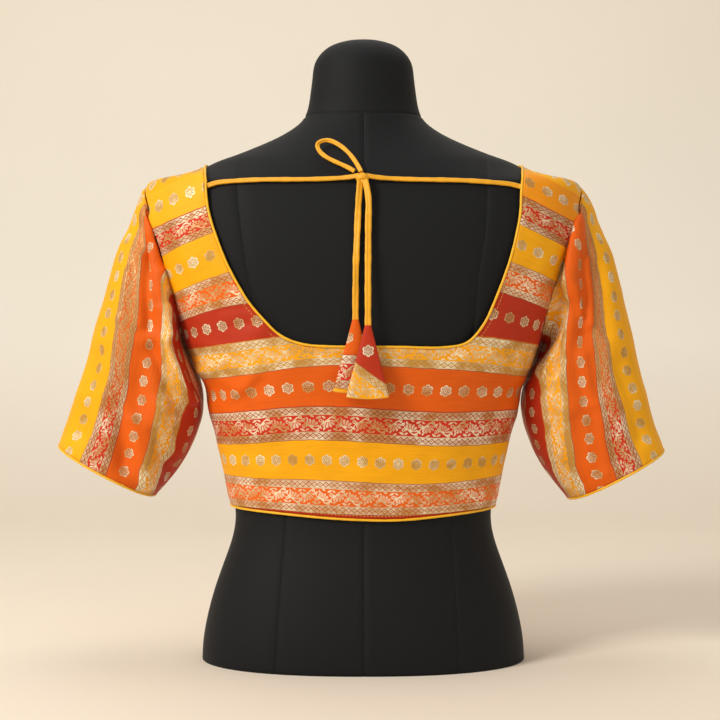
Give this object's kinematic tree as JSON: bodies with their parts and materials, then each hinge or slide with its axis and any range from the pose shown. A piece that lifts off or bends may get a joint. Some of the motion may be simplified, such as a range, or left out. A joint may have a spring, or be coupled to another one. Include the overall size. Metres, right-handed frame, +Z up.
{
  "type": "choli blouse on a limbless dress form",
  "caption": "Cropped, fitted blouse with a deep U-shaped back neckline, flared elbow sleeves and a tied cord with cloth drops, worn by a limbless dress form on a flat base.",
  "frame": {"origin": "centre of the dress form's flat base, on the surface that it stands on", "axes": "+Z up, -Y out of the blouse's back, +X towards the wearer's right"},
  "size_m": [0.6042, 0.2367, 0.614],
  "materials": {
    "form_cloth": "matte black jersey over a foam form",
    "brocade": "silk brocade in yellow, orange and red stripes with pale gold metal thread",
    "piping": "yellow silk bias piping",
    "dori": "yellow silk tie, a flat sewn tube",
    "latkan_cloth": "patched brocade offcuts, folded and pressed"
  },
  "bodies": {
    "root": {"dress_form": "form_cloth", "back": "brocade", "front_left": "brocade", "front_right": "brocade", "sleeve_left": "brocade", "sleeve_right": "brocade", "neck_piping": "piping", "hem_piping": "piping", "cuff_piping_left": "piping", "cuff_piping_right": "piping", "dori_left": "dori", "dori_right": "dori", "dori_loop": "dori", "dori_knot": "dori", "dori_tail_left": "dori", "dori_tail_right": "dori", "latkan_left": "latkan_cloth", "latkan_right": "latkan_cloth"}
  },
  "joints": []
}
